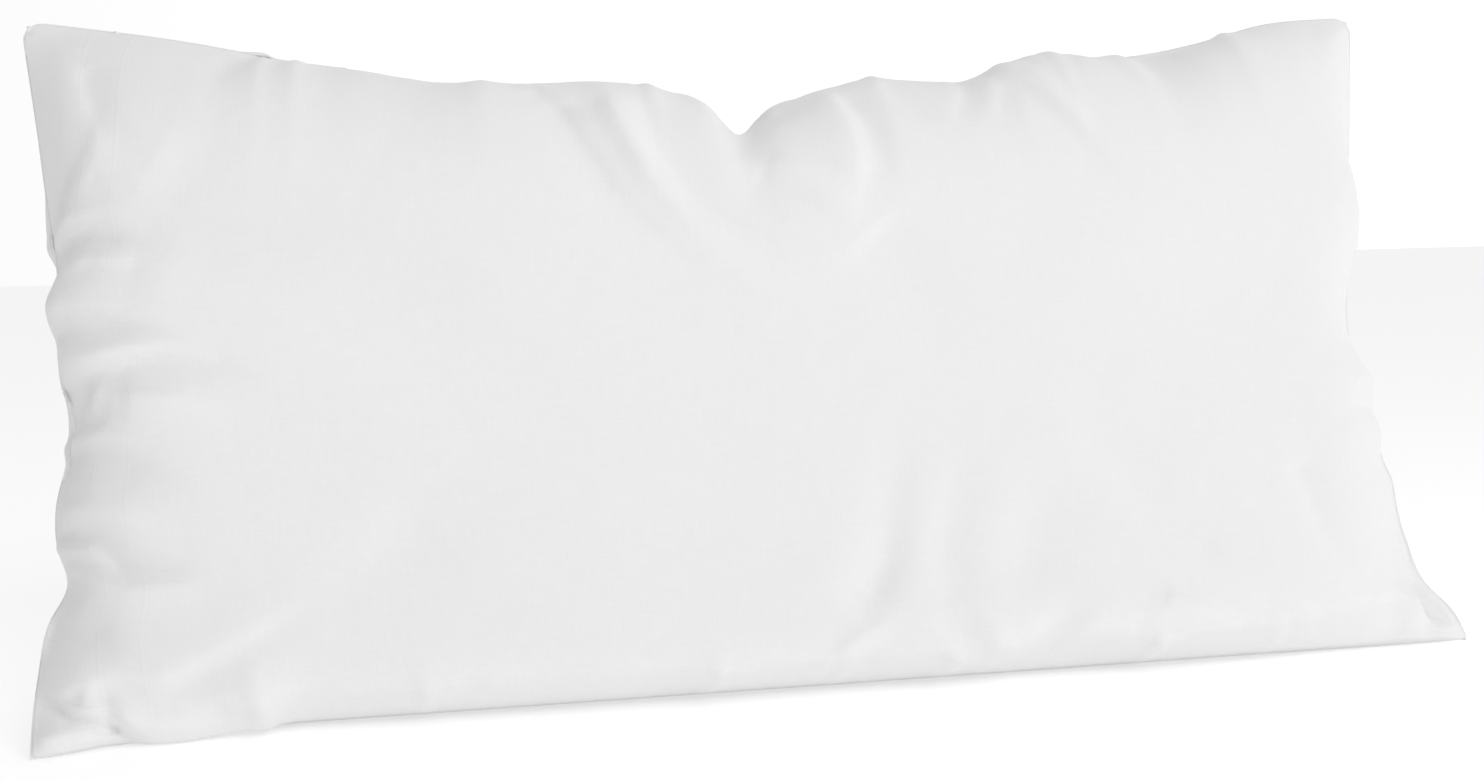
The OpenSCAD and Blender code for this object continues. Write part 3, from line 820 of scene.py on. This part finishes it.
def stretched_noise(material, where, scale, detail=2.0):
    """Noise stretched along one direction, such as the uneven threads of a cloth."""
    spread = add_node(material, "ShaderNodeVectorMath", {0: where, 1: scale}, operation="MULTIPLY")
    links = {"Vector": (spread, "Vector"), "Scale": 1.0, "Detail": detail, "Roughness": 0.55}
    return add_node(material, "ShaderNodeTexNoise", links)


def waves(material, where, scale):
    """Even ridges along one direction, from -1 to 1."""
    spread = add_node(material, "ShaderNodeVectorMath", {0: where, 1: scale}, operation="DOT_PRODUCT")
    return math_node(material, "SINE", (spread, "Value"), 0.0)


def shade(material, value, low, high, dark, light):
    """Colour from dark to light as the value goes from low to high."""
    links = {"Value": value, "From Min": low, "From Max": high}
    share = add_node(material, "ShaderNodeMapRange", links)
    mix = add_node(material, "ShaderNodeMix", {"Factor": (share, "Result")}, data_type="RGBA")
    mix.inputs[6].default_value = (*dark, 1)
    mix.inputs[7].default_value = (*light, 1)
    shader = material.node_tree.nodes["Principled BSDF"]
    material.node_tree.links.new(mix.outputs[2], shader.inputs["Base Color"])


def raise_surface(material, height, distance, strength):
    """Relief from a height."""
    links = {"Height": height, "Distance": distance, "Strength": strength}
    bump = add_node(material, "ShaderNodeBump", links)
    shader = material.node_tree.nodes["Principled BSDF"]
    material.node_tree.links.new(bump.outputs["Normal"], shader.inputs["Normal"])


def pressed_line(material, where, place):
    """A faint straight ridge up the cloth, such as over a row of stitches."""
    across = add_node(material, "ShaderNodeSeparateXYZ", {"Vector": where})
    aside = math_node(material, "SUBTRACT", (across, "X"), place)
    away = math_node(material, "ABSOLUTE", (aside, "Value"), 0.0)
    links = {"Value": (away, "Value"), "From Min": 0.0012, "From Max": 0.0, "To Max": 1.2}
    return add_node(material, "ShaderNodeMapRange", links, interpolation_type="SMOOTHSTEP")


def cloth_material(name, dark, light, thread, slub, sheen, diagonal=False, pressed=()):
    """A woven cloth: the ridges of its threads and their uneven thickness, with
    pressed lines up the cloth at the given places."""
    material = new_material(name, light, 0.92, sheen=sheen, specular=0.15)
    cloth = add_node(material, "ShaderNodeUVMap", {}, uv_map="cloth")
    where = (cloth, "UV")
    turns = 2 * math.pi / thread
    warp = waves(material, where, (turns, turns if diagonal else 0, 0))
    weft = waves(material, where, (0, turns, 0))
    threads = math_node(material, "MULTIPLY", (warp, "Value"), (weft, "Value"))
    upright = stretched_noise(material, where, (1 / slub, 0.03 / slub, 1))
    level = stretched_noise(material, where, (0.03 / slub, 1 / slub, 1))
    uneven = math_node(material, "ADD", (upright, "Fac"), (level, "Fac"))
    broad = stretched_noise(material, where, (28, 28, 1), 3.0)
    mild = math_node(material, "MULTIPLY", (broad, "Fac"), 0.25)
    toned = math_node(material, "ADD", (uneven, "Value"), (mild, "Value"))
    shade(material, (toned, "Value"), 0.75, 1.50, dark, light)
    fine = math_node(material, "MULTIPLY", (threads, "Value"), 0.25)
    height = math_node(material, "ADD", (fine, "Value"), (uneven, "Value"))
    for place in pressed:
        line = pressed_line(material, where, place)
        height = math_node(material, "ADD", (height, "Value"), (line, "Result"))
    raise_surface(material, (height, "Value"), 0.00012, 0.5)
    return material


def tuft_material(name, dark, light, size):
    """Loose filling: soft clumps of down or feathers."""
    material = new_material(name, light, 0.95, sheen=0.3, specular=0.1)
    place = add_node(material, "ShaderNodeTexCoord", {})
    links = {"Vector": (place, "Object"), "Scale": 1 / size, "Randomness": 1.0}
    clumps = add_node(material, "ShaderNodeTexVoronoi", links)
    wisps = stretched_noise(material, (place, "Object"), (3 / size, 3 / size, 3 / size), 4.0)
    height = math_node(material, "ADD", (clumps, "Distance"), (wisps, "Fac"))
    shade(material, (height, "Value"), 0.3, 1.2, light, dark)
    raise_surface(material, (height, "Value"), 0.002, 0.7)
    return material


def metal_material():
    """Nickel plate with fine polishing marks."""
    material = new_material("zip_metal", (0.72, 0.72, 0.70), 0.28, metallic=1.0, specular=0.5)
    place = add_node(material, "ShaderNodeTexCoord", {})
    marks = stretched_noise(material, (place, "Object"), (9000, 900, 900), 3.0)
    shade(material, (marks, "Fac"), 0.3, 0.7, (0.66, 0.66, 0.65), (0.78, 0.78, 0.76))
    raise_surface(material, (marks, "Fac"), 0.00002, 0.4)
    return material


def nylon_material():
    """White nylon with a slight unevenness."""
    material = new_material("zip_coil", (0.86, 0.86, 0.86), 0.38, specular=0.5)
    place = add_node(material, "ShaderNodeTexCoord", {})
    marks = stretched_noise(material, (place, "Object"), (1600, 1600, 1600), 2.0)
    shade(material, (marks, "Fac"), 0.3, 0.7, (0.80, 0.80, 0.79), (0.88, 0.88, 0.88))
    raise_surface(material, (marks, "Fac"), 0.00003, 0.3)
    return material


def recolour(node, material):
    """A new material on a CAD node that keeps its shape."""
    mesh = frame["nodes"][node].data
    mesh.materials.clear()
    mesh.materials.append(material)


# ---- The scene ----


def aim(obj, target):
    """Turns a camera or light to look at a point."""
    direction = Vector(target) - obj.location
    obj.rotation_euler = direction.to_track_quat("-Z", "Y").to_euler()


def soft_light(name, place, target, size, power):
    """A rectangular studio lamp that faces a target."""
    light = bpy.data.lights.new(name, "AREA")
    light.shape = "RECTANGLE"
    light.size, light.size_y = size
    light.energy = power
    obj = bpy.data.objects.new(name, light)
    obj.location = place
    bpy.context.scene.collection.objects.link(obj)
    aim(obj, target)


def add_camera():
    """A camera in front and to the left of the middle, near the pillow's height."""
    camera = bpy.data.cameras.new("camera")
    camera.sensor_width = 36
    camera.lens = 50.6
    obj = bpy.data.objects.new("camera", camera)
    obj.location = (-0.2557, -1.1287, 0.2359)
    yaw, pitch, roll = math.radians(-12.18), math.radians(-3.71), math.radians(1.51)
    turn = Matrix.Rotation(yaw, 3, "Z") @ Matrix.Rotation(pitch, 3, "X")
    turn = turn @ Matrix.Rotation(roll, 3, "Y") @ Matrix.Rotation(math.pi / 2, 3, "X")
    obj.rotation_euler = turn.to_euler()
    bpy.context.scene.collection.objects.link(obj)
    bpy.context.scene.camera = obj


def add_studio():
    """A pale floor, a bright surround that is dimmer to the left, and one large
    lamp at the front right."""
    corners = np.array([[-40, -40, 0], [40, -40, 0], [-40, 40, 0], [40, 40, 0]], float)
    floor = mesh_object("studio_floor", corners, np.array([[0, 1, 3, 2]]))
    paint = new_material("studio_floor", (0.80, 0.80, 0.80), 0.95, specular=0.0)
    shader = paint.node_tree.nodes["Principled BSDF"]
    shader.inputs["Emission Color"].default_value = (1, 1, 1, 1)
    shader.inputs["Emission Strength"].default_value = FLOOR_GLOW
    floor.data.materials.append(paint)

    world = bpy.data.worlds.new("studio")
    bpy.context.scene.world = world
    world.use_nodes = True
    background = world.node_tree.nodes["Background"]
    background.inputs["Color"].default_value = (1, 1, 1, 1)
    place = add_node(world, "ShaderNodeTexCoord", {})
    toward = add_node(
        world, "ShaderNodeVectorMath", {0: (place, "Generated"), 1: SKY_SLOPE},
        operation="DOT_PRODUCT",
    )
    glow = math_node(world, "ADD", (toward, "Value"), SKY_BASE)
    world.node_tree.links.new(glow.outputs[0], background.inputs["Strength"])
    soft_light("key_light", (0.6, -2.5, 1.6), (0, 0, 0.2), (1.5, 1.5), KEY_POWER)
    bpy.context.scene.view_settings.view_transform = "Standard"


# ---- The whole pillow ----

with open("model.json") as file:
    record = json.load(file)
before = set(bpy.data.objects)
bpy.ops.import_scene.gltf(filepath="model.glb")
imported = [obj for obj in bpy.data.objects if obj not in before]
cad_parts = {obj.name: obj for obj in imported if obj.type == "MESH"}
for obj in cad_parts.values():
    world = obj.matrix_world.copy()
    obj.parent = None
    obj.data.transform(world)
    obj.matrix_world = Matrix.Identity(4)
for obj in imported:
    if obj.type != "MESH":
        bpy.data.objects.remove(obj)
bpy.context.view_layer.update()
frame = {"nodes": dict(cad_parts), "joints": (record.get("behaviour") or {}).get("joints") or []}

front_sim, back_sim = fill_cover()
front_shape = panel(softened(front_sim, 30, 0.25), FRONT)
back_shape = panel(back_sim, BACK)
keep_apart(front_shape, back_shape)

stitch_rows = [ZIP_U * FLAT_LENGTH - STITCH_ROW, ZIP_U * FLAT_LENGTH + STITCH_ROW]
white, white_shade = (0.87, 0.87, 0.87), (0.83, 0.83, 0.83)
cotton = cloth_material(
    "cover_cotton", white_shade, white, 0.0004, 0.0005, 0.15, pressed=stitch_rows
)
cream, cream_shade = (0.84, 0.82, 0.75), (0.78, 0.75, 0.68)
ticking = cloth_material("ticking_cotton", cream_shade, cream, 0.0005, 0.0008, 0.1, True)
chamber = cloth_material("chamber_cloth", (0.76, 0.74, 0.69), (0.83, 0.81, 0.77), 0.0006, 0.0010, 0.1)
tape = cloth_material("zip_tape", (0.78, 0.78, 0.77), (0.86, 0.86, 0.85), 0.0008, 0.0006, 0.1, True)
satin = cloth_material("label_satin", (0.86, 0.86, 0.85), (0.91, 0.91, 0.90), 0.0003, 0.0005, 0.3)
thread = cloth_material(
    "sewing_thread", (0.80, 0.80, 0.79), (0.90, 0.90, 0.89), 0.0003, 0.0004, 0.2, True
)
down = tuft_material("down", (0.80, 0.79, 0.77), (0.92, 0.91, 0.89), 0.012)
feathers = tuft_material("feathers", (0.72, 0.69, 0.65), (0.88, 0.86, 0.82), 0.020)
metal = metal_material()
nylon = nylon_material()

# The cover: the front, and the back in two parts beside the zip
column = sample(back_shape, np.array([ZIP_U]), FULL_V)[:, 0, 2]
slot_ends = [ZIP_LOW - SLOT_PAST_ZIP, ZIP_HIGH + SLOT_PAST_ZIP]
low_v, high_v = np.interp(slot_ends, column, FULL_V)
V = np.unique(np.concatenate([FULL_V, [low_v, high_v]]))
MAIN_U = np.linspace(ZIP_U + SLOT_U, 1, 341)
END_U = np.linspace(0, ZIP_U - SLOT_U, 31)
front_points = cover_part(front_shape, FULL_U, FULL_V)
main_points = cover_part(back_shape, MAIN_U, V, True)
end_points = cover_part(back_shape, END_U, V, True)
cover = [
    (grid_object("front_cloth", front_points, FULL_U, FULL_V), "cover_front"),
    (grid_object("back_cloth", main_points, MAIN_U, V, True), "cover_back"),
    (grid_object("end_cloth", end_points, END_U, V, True), "cover_end_strip"),
]
for name, piece_v in (("zip_end_low", V[V <= low_v]), ("zip_end_high", V[V >= high_v])):
    cover.append((zip_end_seam(name, back_shape, piece_v), "zip_end_seams"))
for piece, node in cover:
    give_thickness(piece, COVER_THICK)
    finish_piece(piece, "pillow", cotton, [node])

# The seam allowances
ALONG_U = np.linspace(0.004, 0.996, 241)
ALONG_V = np.linspace(0.008, 0.992, 121)
low_strip = np.linspace(ALLOWANCE_OUTER, ALLOWANCE_INNER, 5) / FLAT_HEIGHT
side_strip = np.linspace(ALLOWANCE_OUTER, ALLOWANCE_INNER, 5) / FLAT_LENGTH
shapes = (front_shape, back_shape)
for name, node, u, v in (
    ("top_allowance", "seam_top", ALONG_U, 1 - low_strip[::-1]),
    ("bottom_allowance", "seam_bottom", ALONG_U, low_strip),
    ("left_allowance", "seam_left", side_strip, ALONG_V),
    ("right_allowance", "seam_right", 1 - side_strip[::-1], ALONG_V),
):
    finish_piece(allowance(name, shapes, u, v), "pillow", cotton, [node])

# The zip
for name, side, tape_node, coil_node in (
    ("main", 1, "zip_tape_main", "zip_coil_main"),
    ("end", -1, "zip_tape_end", "zip_coil_end"),
):
    finish_piece(zip_tape("tape_" + name, side), "pillow", tape, [tape_node])
    finish_piece(zip_coil("coil_" + name, side), "pillow", nylon, [coil_node])
finish_piece(zip_stitches(), "pillow", thread, ["zip_stitching"])
finish_piece(zip_tacks(), "pillow", thread, ["zip_bar_tacks"])
for node in ("zip_slider", "zip_puller"):
    recolour(node, metal)
for node in ("zip_top_stops", "zip_bottom_stop"):
    recolour(node, nylon)

# The care label
fold = next(joint for joint in frame["joints"] if joint["name"] == "label_fold")
care_label(satin, np.array(fold["pos_m"]), np.array(fold["axis"]))

# The insert: a ticking with down in its outer chambers and feathers between
for name, side in (("front", FRONT), ("back", BACK)):
    flip = side == BACK
    skin = grid_object("ticking_cloth_" + name, *layer(side, TICKING_SHARE, TICKING_INSET), flip)
    give_thickness(skin, TICKING_THICK)
    finish_piece(skin, "pillow", ticking, ["ticking_" + name])
    wall = grid_object("chamber_cloth_" + name, *layer(side, WALL_SHARE, WALL_INSET), flip)
    give_thickness(wall, WALL_THICK)
    finish_piece(wall, "pillow", chamber, ["chamber_wall_" + name])
    outer, u, v = layer(side, TICKING_SHARE - FILLING_GAP, FILLING_INSET)
    inside = layer(side, WALL_SHARE + FILLING_GAP, FILLING_INSET)[0]
    near, far = (inside, outer) if flip else (outer, inside)
    tufts = filling_object("down_filling_" + name, near, far, u, v)
    finish_piece(tufts, "pillow", down, ["down_" + name])
near, u, v = layer(FRONT, WALL_SHARE - FILLING_GAP, FILLING_INSET)
far = layer(BACK, WALL_SHARE - FILLING_GAP, FILLING_INSET)[0]
core = filling_object("feather_filling", near, far, u, v)
finish_piece(core, "pillow", feathers, ["feather_core"])

middle = sum(layer(side, TICKING_SHARE, TICKING_INSET)[0] for side in (FRONT, BACK)) / 2
rim = np.concatenate([middle[0], middle[1:, -1], middle[-1, -2::-1], middle[-2:0:-1, 0]])
edging = tube_object("ticking_edging", rim[None], EDGING_RADIUS, OUT_OF_FACE)
finish_piece(edging, "pillow", ticking, ["ticking_edge_seam"])

# A blank tag on the back of the ticking
u, v = np.linspace(0.62, 0.675, 12), np.linspace(0.40, 0.56, 12)
tag_points = sample(back_shape, u, v)
tag_points[..., 1] *= 0.95
tag = grid_object("insert_tag", settled(tag_points, u, v, LAYER_FLOOR), u, v, True)
give_thickness(tag, TAG_THICK, 0)
finish_piece(tag, "pillow", satin, ["insert_label"])

add_camera()
add_studio()
